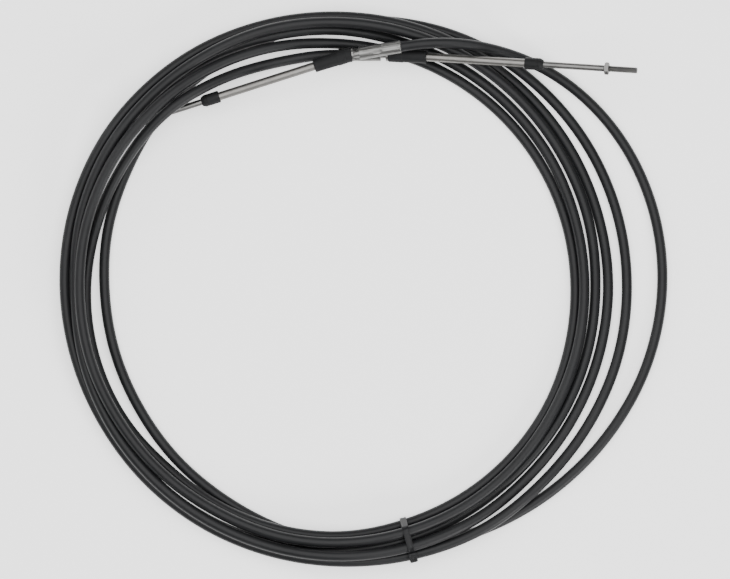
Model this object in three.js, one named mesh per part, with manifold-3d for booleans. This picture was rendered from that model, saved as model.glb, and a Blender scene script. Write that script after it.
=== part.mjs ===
// A coiled push-pull control cable for a boat, with a rod at each end. Millimetres, +Z up.
import * as THREE from 'three';
import { mergeVertices } from 'three/addons/utils/BufferGeometryUtils.js';
import Module from 'manifold-3d';

const wasm = await Module();
wasm.setup();

// Conduit and its coil
const JACKET_DIAMETER = 7.9;
const JACKET_SIDES = 8;
const TURN_GAP = 0.6; // free space kept between turns that cross
const KNOT_ANGLE = 15; // degrees between the chosen radii
const RINGS_PER_KNOT = 3;
const FIRST_AZIMUTH = 76; // where the conduit leaves hub A, counted from +X

// Distance of the conduit from the coil's centre, every 15 degrees clockwise from hub A.
// Each row is one turn.
const TURN_RADII = [
  [185, 206.2, 224, 235, 240, 240, 235.5, 227.5, 218.5, 209.5, 201.5, 193.5,
    186, 180.5, 177.5, 175.5, 175.5, 176.5, 179.5, 182.5, 187.5, 191, 194.5, 198.5],
  [203.5, 208, 210.5, 212.5, 213.5, 213.5, 213, 211, 209, 208.5, 206, 204,
    203.5, 203.5, 203.5, 203.5, 204.5, 206, 207.5, 208, 207.5, 206.5, 204.5, 202.5],
  [201.5, 201, 200.5, 200, 199.5, 199.5, 199, 198.5, 198.5, 199.5, 199.5, 199.5,
    199.5, 199.5, 199.5, 199.5, 199, 198, 200.5, 201.5, 201, 200.5, 200, 198],
  [196.5, 195.5, 194, 192.5, 191.5, 190, 190, 190, 190, 191.5, 193.5, 196,
    198, 199.5, 200.5, 201, 202, 202.5, 203, 202.5, 201, 198, 195, 192.5],
  [189, 187, 185, 183.5, 182, 181.5, 182, 183, 185, 187, 188, 189.5,
    190.5, 190.5, 191.5, 192.5, 194, 194.5, 195, 194.2, 192.5, 190, 186.5, 182.5],
  [180, 178, 176.5, 175.5, 175, 175, 176, 178, 179.5, 181, 182.5, 185,
    186, 186.5, 187, 190, 191, 190.5, 188.5, 186.5, 184.5, 179.5, 175, 174],
];

// Which turn lies over which, lowest first, at the same 24 places of a turn
const LAYERS = [
  ...Array(3).fill([1, 2, 5, 4, 3, 0]),
  ...Array(5).fill([0, 2, 1, 3, 5, 4]),
  ...Array(5).fill([0, 3, 5, 1, 4, 2]),
  ...Array(9).fill([0, 3, 5, 1, 2, 4]),
  ...Array(2).fill([0, 1, 3, 2, 4, 5]),
];

// The turns that lie over rod A where it passes under the bundle
const TURNS_OVER_ROD_A = [1, 2, 4, 5];

// How the conduit settles: sag for each ring of its length, and its stiffness
const SAG = 0.08;
const STIFFNESS = 0.5;
const SETTLING_ROUNDS = 5000;
const PASSES_PER_ROUND = 3;
const SEARCH_REACH = 3; // stations looked at on both sides of the place beside a turn

// Crimped hubs
const HUB_DIAMETER = 9.7;
const HUB_LENGTH = 37.3;
const HUB_BORE_DEPTH = 18;
const GROOVE_DIAMETER = 5.6;
const GROOVE_WIDTH = 4;
const FLANGE_LENGTH = 1.7;
const CHAMFER = 0.5;

// Swivel joint between hub and sleeve
const BALL_DIAMETER = 7.8;
const BALL_AHEAD = 2.2; // ball centre in front of the hub's face
const CLEARANCE = 0.3;

// Rubber boots over the swivels
const BOOT_LENGTH = 29.2;
const BOOT_COLLAR_DIAMETER = 11;
const BOOT_COLLAR_LENGTH = 11.4;
const BOOT_STEP = 0.3; // from the collar down to the tapered front
const BOOT_LIP_DIAMETER = 10;
const BOOT_BEND_LENGTH = BOOT_LENGTH / 3; // from square to the hub to square to the sleeve

// Support sleeves, wiper seals and rods
const SLEEVE_DIAMETER = 6.35;
const SLEEVE_BORE = 5.3;
const SLEEVE_REACH = 110.5; // from the ball's centre to the sleeve's end
const WIPER_DIAMETER = 9.2;
const WIPER_LENGTH = 14;
const WIPER_NOSE = 4.7; // part of the seal in front of the sleeve
const WIPER_TAPER_LENGTH = 3.6;
const WIPER_TAPER_DEPTH = 1.6;
const ROD_DIAMETER = 4.76;
const HALF_STROKE = 38.1;
const ROD_SHOWN = 70.4; // rod in front of the seal at mid travel
const ROD_HELD = 14.5; // rod that stays behind the seal's front when it is fully out
const ROD_LENGTH = ROD_SHOWN + HALF_STROKE + ROD_HELD;
const THREAD_DIAMETER = 4.9;
const THREAD_LENGTH = 25.5;
const NUT_ACROSS_FLATS = 8;
const NUT_THICKNESS = 3.3;
const NUT_SIDES = 6;
const NUT_CORNER = NUT_ACROSS_FLATS / 2 / Math.cos(Math.PI / NUT_SIDES); // axis to corner
const NUT_FROM_TIP = 21.2;

// Where each end points, in degrees: yaw from +X, pitch up from level. Hub A lies on hub B.
// The lead is the straight conduit between the last station and the hub.
const HUB_B_HEIGHT = 9.6; // at the mouth that holds the conduit
const HUB_A_RISE = 5.4; // free height between the two hubs' mouths
const END_A = {
  hubYaw: 189,
  hubPitch: -2.8,
  sleeveYaw: 197.6,
  sleevePitch: -2.8,
  lead: 0,
  mouthHeight: HUB_B_HEIGHT + HUB_DIAMETER + HUB_A_RISE,
};
const END_B = {
  hubYaw: 0,
  hubPitch: 6.4,
  sleeveYaw: -4.06,
  sleevePitch: 10.3,
  lead: 1.2,
  mouthHeight: HUB_B_HEIGHT,
};

// Cable tie round the bundle
const TIE_AZIMUTH = 285;
const STRAP_WIDTH = 4.8;
const STRAP_THICKNESS = 1.1;
const TIE_HEAD = { across: 7, along: 6, height: 5 };
const TIE_HEAD_SHIFT = 2.1; // outward of the outermost turn's axis
const TIE_CLEARANCE = 0.3;
const STRAP_STEPS = 36;

const ROUND_SIDES = 16; // facets round each turned piece
const ARC_STEPS = 4; // facets along each ball's or seat's profile
const WELD_DISTANCE = 1e-4;
const FLOOR = JACKET_DIAMETER / 2;
const STATIONS_PER_TURN = (360 / KNOT_ANGLE) * RINGS_PER_KNOT;
const STATION_ANGLE = KNOT_ANGLE / RINGS_PER_KNOT;
const STATION_LENGTH = THREE.MathUtils.degToRad(STATION_ANGLE) * TURN_RADII[2][0];
const SEAL_FRONT = SLEEVE_REACH + WIPER_NOSE;
const NUT_PLACE = SEAL_FRONT + ROD_SHOWN - NUT_FROM_TIP - NUT_THICKNESS / 2;

const rad = THREE.MathUtils.degToRad;
const steel = (name, color, roughness) =>
  new THREE.MeshStandardMaterial({ name, color, roughness, metalness: 1 });
const polymer = (name, color, roughness) =>
  new THREE.MeshStandardMaterial({ name, color, roughness, metalness: 0 });
const jacketPlastic = polymer('jacket_plastic', 0x242527, 0.42);
const crimpedSteel = steel('crimped_steel', 0xb4b5b4, 0.38);
const stainless = steel('stainless_tube', 0xc0bcb6, 0.3);
const bootRubber = polymer('boot_rubber', 0x1d1e20, 0.75);
const sealRubber = polymer('seal_rubber', 0x202124, 0.68);
const tieNylon = polymer('tie_nylon', 0x1c1d20, 0.35);

// Smooth values between the chosen radii, by a Catmull-Rom spline through them
function smoothRadii() {
  const knots = TURN_RADII.flat();
  const first = 2 * knots[0] - knots[1];
  const last = 2 * knots[knots.length - 1] - knots[knots.length - 2];
  const padded = [first, ...knots, last];
  const radii = [];
  for (let k = 1; k < padded.length - 2; k++) {
    const [a, b, c, d] = padded.slice(k - 1, k + 3);
    for (let step = 0; step < RINGS_PER_KNOT; step++) {
      const t = step / RINGS_PER_KNOT;
      const cubic = (3 * b - a - 3 * c + d) * t ** 3;
      const square = (2 * a - 5 * b + 4 * c - d) * t ** 2;
      radii.push(0.5 * (2 * b + (c - a) * t + square + cubic));
    }
  }
  radii.push(knots[knots.length - 1]);
  return radii;
}

// Stations along the conduit in plan, each with the turn that it belongs to
function planStations() {
  return smoothRadii().map((radius, index) => {
    const angle = rad(FIRST_AZIMUTH - index * STATION_ANGLE);
    const turn = Math.floor(index / STATIONS_PER_TURN);
    return { x: radius * Math.cos(angle), y: radius * Math.sin(angle), turn, angle, radius };
  });
}

// Least distance in plan from a point to the stretch of conduit round a station
function distanceToStretch(p, stations, near) {
  let least = Infinity;
  const end = Math.min(stations.length - 1, near + SEARCH_REACH);
  for (let k = Math.max(0, near - SEARCH_REACH); k < end; k++) {
    const a = stations[k];
    const dx = stations[k + 1].x - a.x;
    const dy = stations[k + 1].y - a.y;
    const along = ((p.x - a.x) * dx + (p.y - a.y) * dy) / (dx * dx + dy * dy);
    const t = THREE.MathUtils.clamp(along, 0, 1);
    least = Math.min(least, Math.hypot(p.x - a.x - t * dx, p.y - a.y - t * dy));
  }
  return least;
}

// The same for a station and the half-way points on both sides of it
function planDistance(stations, from, near) {
  const here = stations[from];
  const beside = [stations[from - 1] ?? here, here, stations[from + 1] ?? here];
  const points = beside.map((next) => ({ x: (here.x + next.x) / 2, y: (here.y + next.y) / 2 }));
  return Math.min(...points.map((point) => distanceToStretch(point, stations, near)));
}

// Pairs of stations where one turn lies over another, with the height between their centres
function crossings(stations) {
  const reach = JACKET_DIAMETER + TURN_GAP;
  const pairs = [];
  stations.forEach((station, upper) => {
    const place = upper % STATIONS_PER_TURN;
    const order = LAYERS[Math.min(LAYERS.length - 1, Math.round(place / RINGS_PER_KNOT))];
    for (let lower = place; lower < stations.length; lower += STATIONS_PER_TURN) {
      const below = order.indexOf(stations[lower].turn) < order.indexOf(station.turn);
      if (!below) continue;
      const apart = planDistance(stations, upper, lower);
      const distance = Math.min(apart, planDistance(stations, lower, upper));
      if (distance < reach) {
        pairs.push({ upper, lower, rise: Math.sqrt(reach ** 2 - distance ** 2) });
      }
    }
  });
  return pairs;
}

// A point at a distance along an end's sleeve axis from its ball centre
function alongAxis(origin, yaw, pitch, distance) {
  return new THREE.Vector3(
    origin.x + distance * Math.cos(rad(pitch)) * Math.cos(rad(yaw)),
    origin.y + distance * Math.cos(rad(pitch)) * Math.sin(rad(yaw)),
    origin.z + distance * Math.sin(rad(pitch)),
  );
}

// Where the conduit enters an end's hub, past its last station
function hubMouth(station, end) {
  return alongAxis(station, end.hubYaw, end.hubPitch, end.lead);
}

// Centre of an end's ball, in front of the hub whose mouth holds the conduit
function ballCentre(mouth, end) {
  return alongAxis(mouth, end.hubYaw, end.hubPitch, HUB_LENGTH + BALL_AHEAD);
}

// Least height of each station: on the floor, over the tie's strap, or over the path of rod A
function leastHeights(stations) {
  const first = stations[0];
  const ball = ballCentre(hubMouth({ x: first.x, y: first.y, z: END_A.mouthHeight }, END_A), END_A);
  const yaw = rad(END_A.sleeveYaw);
  const slope = Math.tan(rad(END_A.sleevePitch));
  const widest = Math.max(WIPER_DIAMETER / 2, NUT_CORNER);
  const near = SEAL_FRONT - WIPER_LENGTH;
  const far = SEAL_FRONT + ROD_SHOWN + HALF_STROKE + NUT_THICKNESS;
  return stations.map(({ x, y, turn, angle }) => {
    const onStrap = Math.abs(Math.sin((angle - rad(TIE_AZIMUTH)) / 2)) < Math.sin(rad(STATION_ANGLE) / 2);
    const rest = onStrap ? FLOOR + STRAP_THICKNESS + TIE_CLEARANCE : FLOOR;
    const along = (x - ball.x) * Math.cos(yaw) + (y - ball.y) * Math.sin(yaw);
    const aside = Math.abs((x - ball.x) * Math.sin(yaw) - (y - ball.y) * Math.cos(yaw));
    const over = TURNS_OVER_ROD_A.includes(turn) && along > near && along < far;
    const reach = FLOOR + TURN_GAP;
    if (!over || aside > widest + reach) return rest;
    const overhang = Math.max(0, aside - widest);
    return ball.z + along * slope + widest + Math.sqrt(reach ** 2 - overhang ** 2);
  });
}

// Heights of the stations: the conduit sags, stays smooth and is held apart where it crosses
function settle(stations) {
  const count = stations.length;
  const pairs = crossings(stations);
  const least = leastHeights(stations);
  const startSlope = -Math.tan(rad(END_A.hubPitch)) * STATION_LENGTH;
  const endSlope = Math.tan(rad(END_B.hubPitch)) * STATION_LENGTH;
  const last = count - 1;
  let heights = [...least];
  heights[0] = END_A.mouthHeight;
  heights[last] = END_B.mouthHeight;
  const at = (index) => {
    if (index < 0) return END_A.mouthHeight + index * startSlope;
    if (index > last) return END_B.mouthHeight + (index - last) * endSlope;
    return heights[index];
  };
  for (let round = 0; round < SETTLING_ROUNDS; round++) {
    const bent = heights.map((height, k) => {
      const fair = (4 * (at(k - 1) + at(k + 1)) - at(k - 2) - at(k + 2)) / 6;
      return height + STIFFNESS * (fair - SAG - height);
    });
    heights = bent;
    for (let pass = 0; pass < PASSES_PER_ROUND; pass++) {
      const up = new Float64Array(count);
      const down = new Float64Array(count);
      for (const { upper, lower, rise } of pairs) {
        const short = heights[lower] + rise - heights[upper];
        if (short > 0) {
          up[upper] = Math.max(up[upper], short);
          down[lower] = Math.max(down[lower], short);
        }
      }
      heights = heights.map((height, k) => Math.max(least[k], height + (up[k] - down[k]) / 2));
    }
    heights[0] = END_A.mouthHeight;
    heights[last] = END_B.mouthHeight;
  }
  return heights;
}

// A path whose rings stand exactly at the given centres
class RingPath extends THREE.Curve {
  constructor(centres) {
    super();
    this.centres = centres;
  }

  getPointAt(u) {
    return this.centres[Math.round(u * (this.centres.length - 1))].clone();
  }

  getTangentAt(u) {
    const last = this.centres.length - 1;
    const index = Math.round(u * last);
    const ahead = this.centres[Math.min(last, index + 1)];
    return ahead.clone().sub(this.centres[Math.max(0, index - 1)]).normalize();
  }
}

// Ring centres of the conduit, from inside hub A, round the coil, to inside hub B
function conduitCentres() {
  const stations = planStations();
  const heights = settle(stations);
  const centres = stations.map(({ x, y }, k) => new THREE.Vector3(x, y, heights[k]));
  const seat = HUB_BORE_DEPTH - CLEARANCE;
  const mouthA = hubMouth(centres[0], END_A);
  const mouthB = hubMouth(centres[centres.length - 1], END_B);
  const startInside = alongAxis(mouthA, END_A.hubYaw, END_A.hubPitch, seat);
  const startOutside = alongAxis(mouthA, END_A.hubYaw, END_A.hubPitch, -CHAMFER);
  const endOutside = alongAxis(mouthB, END_B.hubYaw, END_B.hubPitch, -CHAMFER);
  const endInside = alongAxis(mouthB, END_B.hubYaw, END_B.hubPitch, seat);
  return {
    mouthA,
    mouthB,
    route: [startInside, startOutside, ...centres.slice(1, -1), endOutside, endInside],
  };
}

function makeMesh(name, geometry, material) {
  const mesh = new THREE.Mesh(geometry, material);
  mesh.name = name;
  return mesh;
}

// A turned piece along +X, from points of [radius, distance along the axis]
function turned(points, sides = ROUND_SIDES) {
  const profile = points.map(([radius, along]) => new THREE.Vector2(radius, along));
  return new THREE.LatheGeometry(profile, sides).rotateZ(-Math.PI / 2);
}

// Profile points of a ball or its seat about the origin, behind it (side -1) or ahead (1)
function arc(radius, fromRadius, toRadius, side) {
  const from = Math.asin(Math.min(1, fromRadius / radius));
  const to = Math.asin(Math.min(1, toRadius / radius));
  return Array.from({ length: ARC_STEPS + 1 }, (_, k) => {
    const angle = from + ((to - from) * k) / ARC_STEPS;
    return [radius * Math.sin(angle), side * radius * Math.cos(angle)];
  });
}

// The jacketed conduit, swept along its rings
function conduit(route) {
  const radius = JACKET_DIAMETER / 2;
  const section = new THREE.Shape(
    Array.from({ length: JACKET_SIDES }, (_, k) => {
      const angle = (2 * Math.PI * k) / JACKET_SIDES;
      return new THREE.Vector2(radius * Math.cos(angle), radius * Math.sin(angle));
    }),
  );
  return new THREE.ExtrudeGeometry(section, {
    steps: route.length - 1,
    extrudePath: new RingPath(route),
    bevelEnabled: false,
  });
}

// A hub: bored for the conduit, grooved for its clamp, with a seat for the sleeve's ball.
// Its axis is +X and the ball's centre is the origin.
function hubGeometry() {
  const outer = HUB_DIAMETER / 2;
  const face = -BALL_AHEAD;
  const mouth = face - HUB_LENGTH;
  const groove = GROOVE_DIAMETER / 2;
  const bore = JACKET_DIAMETER / 2 + CLEARANCE;
  const seatRadius = BALL_DIAMETER / 2 + CLEARANCE;
  const seatMouth = Math.sqrt(seatRadius ** 2 - BALL_AHEAD ** 2);
  return turned([
    [0, mouth + HUB_BORE_DEPTH],
    [bore, mouth + HUB_BORE_DEPTH],
    [bore, mouth],
    [outer - CHAMFER, mouth],
    [outer, mouth + CHAMFER],
    [outer, face - FLANGE_LENGTH - GROOVE_WIDTH],
    [groove, face - FLANGE_LENGTH - GROOVE_WIDTH],
    [groove, face - FLANGE_LENGTH],
    [outer, face - FLANGE_LENGTH],
    [outer, face],
    ...arc(seatRadius, seatMouth, 0, -1),
  ]);
}

// The sleeve: a tube with a ball end round the origin, open for the rod
function sleeveGeometry() {
  const ball = BALL_DIAMETER / 2;
  const bore = SLEEVE_BORE / 2;
  const outer = SLEEVE_DIAMETER / 2;
  const back = arc(ball, bore, ball, -1);
  const front = arc(ball, outer, ball, 1).reverse().slice(1);
  return turned([
    ...back,
    ...front,
    [outer, SLEEVE_REACH],
    [bore, SLEEVE_REACH],
    [bore, back[0][1]],
  ]);
}

// The turn from level +X to a yaw and pitch in degrees
function aim(yaw, pitch) {
  return new THREE.Quaternion().setFromEuler(new THREE.Euler(0, -rad(pitch), rad(yaw), 'ZYX'));
}

// Tilts the back slices of a boot so that they lie square to its hub
function bendToHub(geometry, end) {
  const hub = aim(end.sleeveYaw, end.sleevePitch).invert().multiply(aim(end.hubYaw, end.hubPitch));
  const straight = new THREE.Quaternion();
  const start = CLEARANCE - BALL_AHEAD;
  const vertex = new THREE.Vector3();
  const positions = geometry.attributes.position;
  for (let k = 0; k < positions.count; k++) {
    vertex.fromBufferAttribute(positions, k);
    const along = vertex.x;
    const share = THREE.MathUtils.smoothstep(along, start, start + BOOT_BEND_LENGTH);
    const centre = new THREE.Vector3(along, 0, 0);
    if (along < 0) centre.applyQuaternion(hub);
    vertex.setX(0).applyQuaternion(hub.clone().slerp(straight, share)).add(centre);
    positions.setXYZ(k, vertex.x, vertex.y, vertex.z);
  }
  return geometry;
}

// The rubber boot: wide inside over the ball, close round the sleeve
function bootGeometry(end) {
  const outer = BOOT_COLLAR_DIAMETER / 2;
  const lip = BOOT_LIP_DIAMETER / 2;
  const start = CLEARANCE - BALL_AHEAD;
  const front = start + BOOT_LENGTH;
  const cavity = BALL_DIAMETER / 2 + CLEARANCE;
  const throat = SLEEVE_DIAMETER / 2 + CLEARANCE;
  const boot = turned([
    [cavity, start],
    [outer - CHAMFER, start],
    [outer, start + CHAMFER],
    [outer, start + BOOT_COLLAR_LENGTH / 2],
    [outer, start + BOOT_COLLAR_LENGTH - BOOT_STEP],
    [outer - BOOT_STEP, start + BOOT_COLLAR_LENGTH],
    [lip, front - CHAMFER],
    [lip - CHAMFER, front],
    [throat, front],
    [throat, BALL_DIAMETER],
    [cavity, BALL_DIAMETER / 2],
    [cavity, start],
  ]);
  return bendToHub(boot, end);
}

// The wiper seal on the sleeve's end, bored for the rod, with a tapered nose
function wiperGeometry() {
  const outer = WIPER_DIAMETER / 2;
  const throat = SLEEVE_DIAMETER / 2 + CLEARANCE;
  const lips = SLEEVE_BORE / 2;
  const back = SEAL_FRONT - WIPER_LENGTH;
  return turned([
    [throat, back],
    [outer - CHAMFER, back],
    [outer, back + CHAMFER],
    [outer, SEAL_FRONT - WIPER_TAPER_LENGTH],
    [outer - WIPER_TAPER_DEPTH, SEAL_FRONT],
    [lips, SEAL_FRONT],
    [lips, SLEEVE_REACH + CLEARANCE],
    [throat, SLEEVE_REACH + CLEARANCE],
    [throat, back],
  ]);
}

// The rod with its threaded end, seen here without the thread's ridges
function rodGeometry() {
  const rod = ROD_DIAMETER / 2;
  const thread = THREAD_DIAMETER / 2;
  const tip = SEAL_FRONT + ROD_SHOWN;
  const back = tip - ROD_LENGTH;
  return turned([
    [0, back],
    [rod - CHAMFER, back],
    [rod, back + CHAMFER],
    [rod, tip - THREAD_LENGTH],
    [thread, tip - THREAD_LENGTH],
    [thread, tip - CHAMFER],
    [thread - CHAMFER, tip],
    [0, tip],
  ]);
}

// The hexagonal nut, two of its flats level
function nutGeometry() {
  const hexagon = new THREE.Shape(
    Array.from({ length: NUT_SIDES }, (_, k) => {
      const angle = (2 * Math.PI * k) / NUT_SIDES;
      return new THREE.Vector2(NUT_CORNER * Math.cos(angle), NUT_CORNER * Math.sin(angle));
    }),
  );
  const hole = new THREE.Path();
  hole.absarc(0, 0, THREAD_DIAMETER / 2 + CLEARANCE, 0, 2 * Math.PI, true);
  hexagon.holes.push(hole);
  const nut = new THREE.ExtrudeGeometry(hexagon, {
    depth: NUT_THICKNESS,
    bevelEnabled: false,
    curveSegments: ROUND_SIDES,
  });
  // The hexagon's own Y becomes up and its depth the axis
  nut.rotateX(Math.PI / 2).rotateZ(Math.PI / 2);
  return nut.translate(NUT_PLACE - NUT_THICKNESS / 2, 0, 0);
}

// A group at an end's ball centre whose +X points as the yaw and pitch say
function aimed(origin, yaw, pitch) {
  const group = new THREE.Group();
  group.position.copy(origin);
  group.quaternion.copy(aim(yaw, pitch));
  return group;
}

// All pieces of one cable end
function cableEnd(letter, end, mouth) {
  const centre = ballCentre(mouth, end);
  const hub = aimed(centre, end.hubYaw, end.hubPitch);
  hub.add(makeMesh(`hub_${letter}`, hubGeometry(), crimpedSteel));
  const arm = aimed(centre, end.sleeveYaw, end.sleevePitch);
  arm.add(
    makeMesh(`swivel_boot_${letter}`, bootGeometry(end), bootRubber),
    makeMesh(`support_sleeve_${letter}`, sleeveGeometry(), stainless),
    makeMesh(`wiper_seal_${letter}`, wiperGeometry(), sealRubber),
    makeMesh(`rod_${letter}`, rodGeometry(), stainless),
    makeMesh(`nut_${letter}`, nutGeometry(), stainless),
  );
  return [hub, arm];
}

// A closed geometry as a solid for joining
function toSolid(geometry) {
  const bare = geometry.clone();
  bare.deleteAttribute('normal');
  bare.deleteAttribute('uv');
  const merged = mergeVertices(bare, WELD_DISTANCE);
  return new wasm.Manifold(
    new wasm.Mesh({
      numProp: 3,
      vertProperties: new Float32Array(merged.attributes.position.array),
      triVerts: new Uint32Array(merged.index.array),
    }),
  );
}

function toGeometry(solid) {
  const mesh = solid.getMesh();
  const geometry = new THREE.BufferGeometry();
  geometry.setAttribute('position', new THREE.BufferAttribute(mesh.vertProperties, 3));
  geometry.setIndex(new THREE.BufferAttribute(mesh.triVerts, 1));
  geometry.computeVertexNormals();
  return geometry;
}

// Where the turns pass the tie: [distance from the coil's centre, height]
function turnsAtTie(route) {
  const direction = rad(TIE_AZIMUTH);
  const across = (p) => -p.x * Math.sin(direction) + p.y * Math.cos(direction);
  const outward = (p) => p.x * Math.cos(direction) + p.y * Math.sin(direction);
  const passes = [];
  for (let k = 1; k < route.length; k++) {
    const [before, after] = [route[k - 1], route[k]];
    if (outward(after) > 0 && across(before) * across(after) < 0) {
      const p = before.clone().lerp(after, across(before) / (across(before) - across(after)));
      passes.push([outward(p), p.z]);
    }
  }
  return passes;
}

// The tie: a strap pulled round the turns, touching the outermost ones, and its head
function cableTie(route) {
  const turns = turnsAtTie(route);
  const loop = (offset) => {
    const points = [];
    for (let k = 0; k < STRAP_STEPS; k++) {
      const angle = (2 * Math.PI * k) / STRAP_STEPS;
      const [ux, uy] = [Math.cos(angle), Math.sin(angle)];
      const far = turns.reduce((a, b) => (b[0] * ux + b[1] * uy > a[0] * ux + a[1] * uy ? b : a));
      points.push(new THREE.Vector2(far[0] + offset * ux, far[1] + offset * uy));
    }
    return points;
  };
  const inner = JACKET_DIAMETER / 2 + TIE_CLEARANCE;
  const strap = new THREE.Shape(loop(inner + STRAP_THICKNESS));
  strap.holes.push(new THREE.Path(loop(inner)));
  const band = new THREE.ExtrudeGeometry(strap, { depth: STRAP_WIDTH, bevelEnabled: false });
  band.translate(0, 0, -STRAP_WIDTH / 2);
  const outerTurn = turns.reduce((a, b) => (b[0] > a[0] ? b : a));
  const headBottom = outerTurn[1] + inner + STRAP_THICKNESS / 2;
  const head = new THREE.BoxGeometry(TIE_HEAD.across, TIE_HEAD.height, TIE_HEAD.along);
  head.translate(outerTurn[0] + TIE_HEAD_SHIFT, headBottom + TIE_HEAD.height / 2, 0);
  const tie = toGeometry(toSolid(band).add(toSolid(head)));
  // The section's Y becomes up and its X points outward at the tie's azimuth
  return tie.rotateX(Math.PI / 2).rotateZ(rad(TIE_AZIMUTH));
}

const { mouthA, mouthB, route } = conduitCentres();
const group = new THREE.Group();
group.add(makeMesh('outer_jacket', conduit(route), jacketPlastic));
group.add(...cableEnd('a', END_A, mouthA), ...cableEnd('b', END_B, mouthB));
group.add(makeMesh('cable_tie', cableTie(route), tieNylon));

// The origin lies under the middle of the whole cable, at floor level
group.updateMatrixWorld(true);
const bounds = new THREE.Box3().setFromObject(group, true);
const middle = bounds.getCenter(new THREE.Vector3());
group.position.set(-middle.x, -middle.y, -bounds.min.z);

export default group;
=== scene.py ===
"""Looks of a coiled push-pull control cable for a boat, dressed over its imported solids.

Sizes are in millimetres and become metres where a mesh is made. +Z is up.
"""

import logging
import math
from dataclasses import dataclass, field
from enum import Enum
from typing import Any

import bpy
import numpy as np
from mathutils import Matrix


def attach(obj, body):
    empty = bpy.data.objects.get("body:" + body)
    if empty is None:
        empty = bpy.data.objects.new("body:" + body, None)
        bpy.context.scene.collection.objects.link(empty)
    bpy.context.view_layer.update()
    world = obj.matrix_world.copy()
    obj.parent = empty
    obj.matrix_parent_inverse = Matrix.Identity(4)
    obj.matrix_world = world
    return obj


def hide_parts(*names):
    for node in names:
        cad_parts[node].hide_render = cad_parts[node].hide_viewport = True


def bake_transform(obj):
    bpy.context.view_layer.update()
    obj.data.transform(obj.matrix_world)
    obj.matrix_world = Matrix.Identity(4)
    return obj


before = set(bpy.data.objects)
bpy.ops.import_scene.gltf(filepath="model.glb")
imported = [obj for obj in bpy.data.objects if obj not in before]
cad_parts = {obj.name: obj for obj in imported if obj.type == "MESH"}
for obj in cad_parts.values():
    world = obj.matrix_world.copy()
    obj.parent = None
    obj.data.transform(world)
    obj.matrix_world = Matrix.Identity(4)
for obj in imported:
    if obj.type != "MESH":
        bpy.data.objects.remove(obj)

LOG = logging.getLogger("control_cable")
MM = 0.001
LENGTH_MAP = "length"
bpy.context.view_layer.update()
Array = np.ndarray


# Shader sheets


@dataclass
class Signal:
    """An output socket that takes part in arithmetic: every operator adds one Math node."""

    sheet: "ShaderSheet"
    socket: bpy.types.NodeSocket

    def _math(self, operation: str, *terms: Any) -> "Signal":
        """Adds a Math node that works on the terms in order."""
        return self.sheet.node("ShaderNodeMath", {"operation": operation}, dict(enumerate(terms)))

    def __add__(self, other: Any) -> "Signal":
        """Sum."""
        return self._math("ADD", self, other)

    __radd__ = __add__

    def __sub__(self, other: Any) -> "Signal":
        """Difference."""
        return self._math("SUBTRACT", self, other)

    def __rsub__(self, other: Any) -> "Signal":
        """Difference from a number on the left."""
        return self._math("SUBTRACT", other, self)

    def __mul__(self, other: Any) -> "Signal":
        """Product."""
        return self._math("MULTIPLY", self, other)

    __rmul__ = __mul__

    def most(self, other: Any) -> "Signal":
        """The larger of the two."""
        return self._math("MAXIMUM", self, other)

    def step(self, low: float, high: float) -> "Signal":
        """Rises smoothly from 0 at low to 1 at high.

        Args:
            low: Value where the rise starts.
            high: Value where it ends.

        Returns:
            The eased share between 0 and 1.
        """
        return self.sheet.node(
            "ShaderNodeMapRange",
            {"interpolation_type": "SMOOTHSTEP"},
            {0: self, 1: low, 2: high, 3: 0.0, 4: 1.0},
        )


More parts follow.
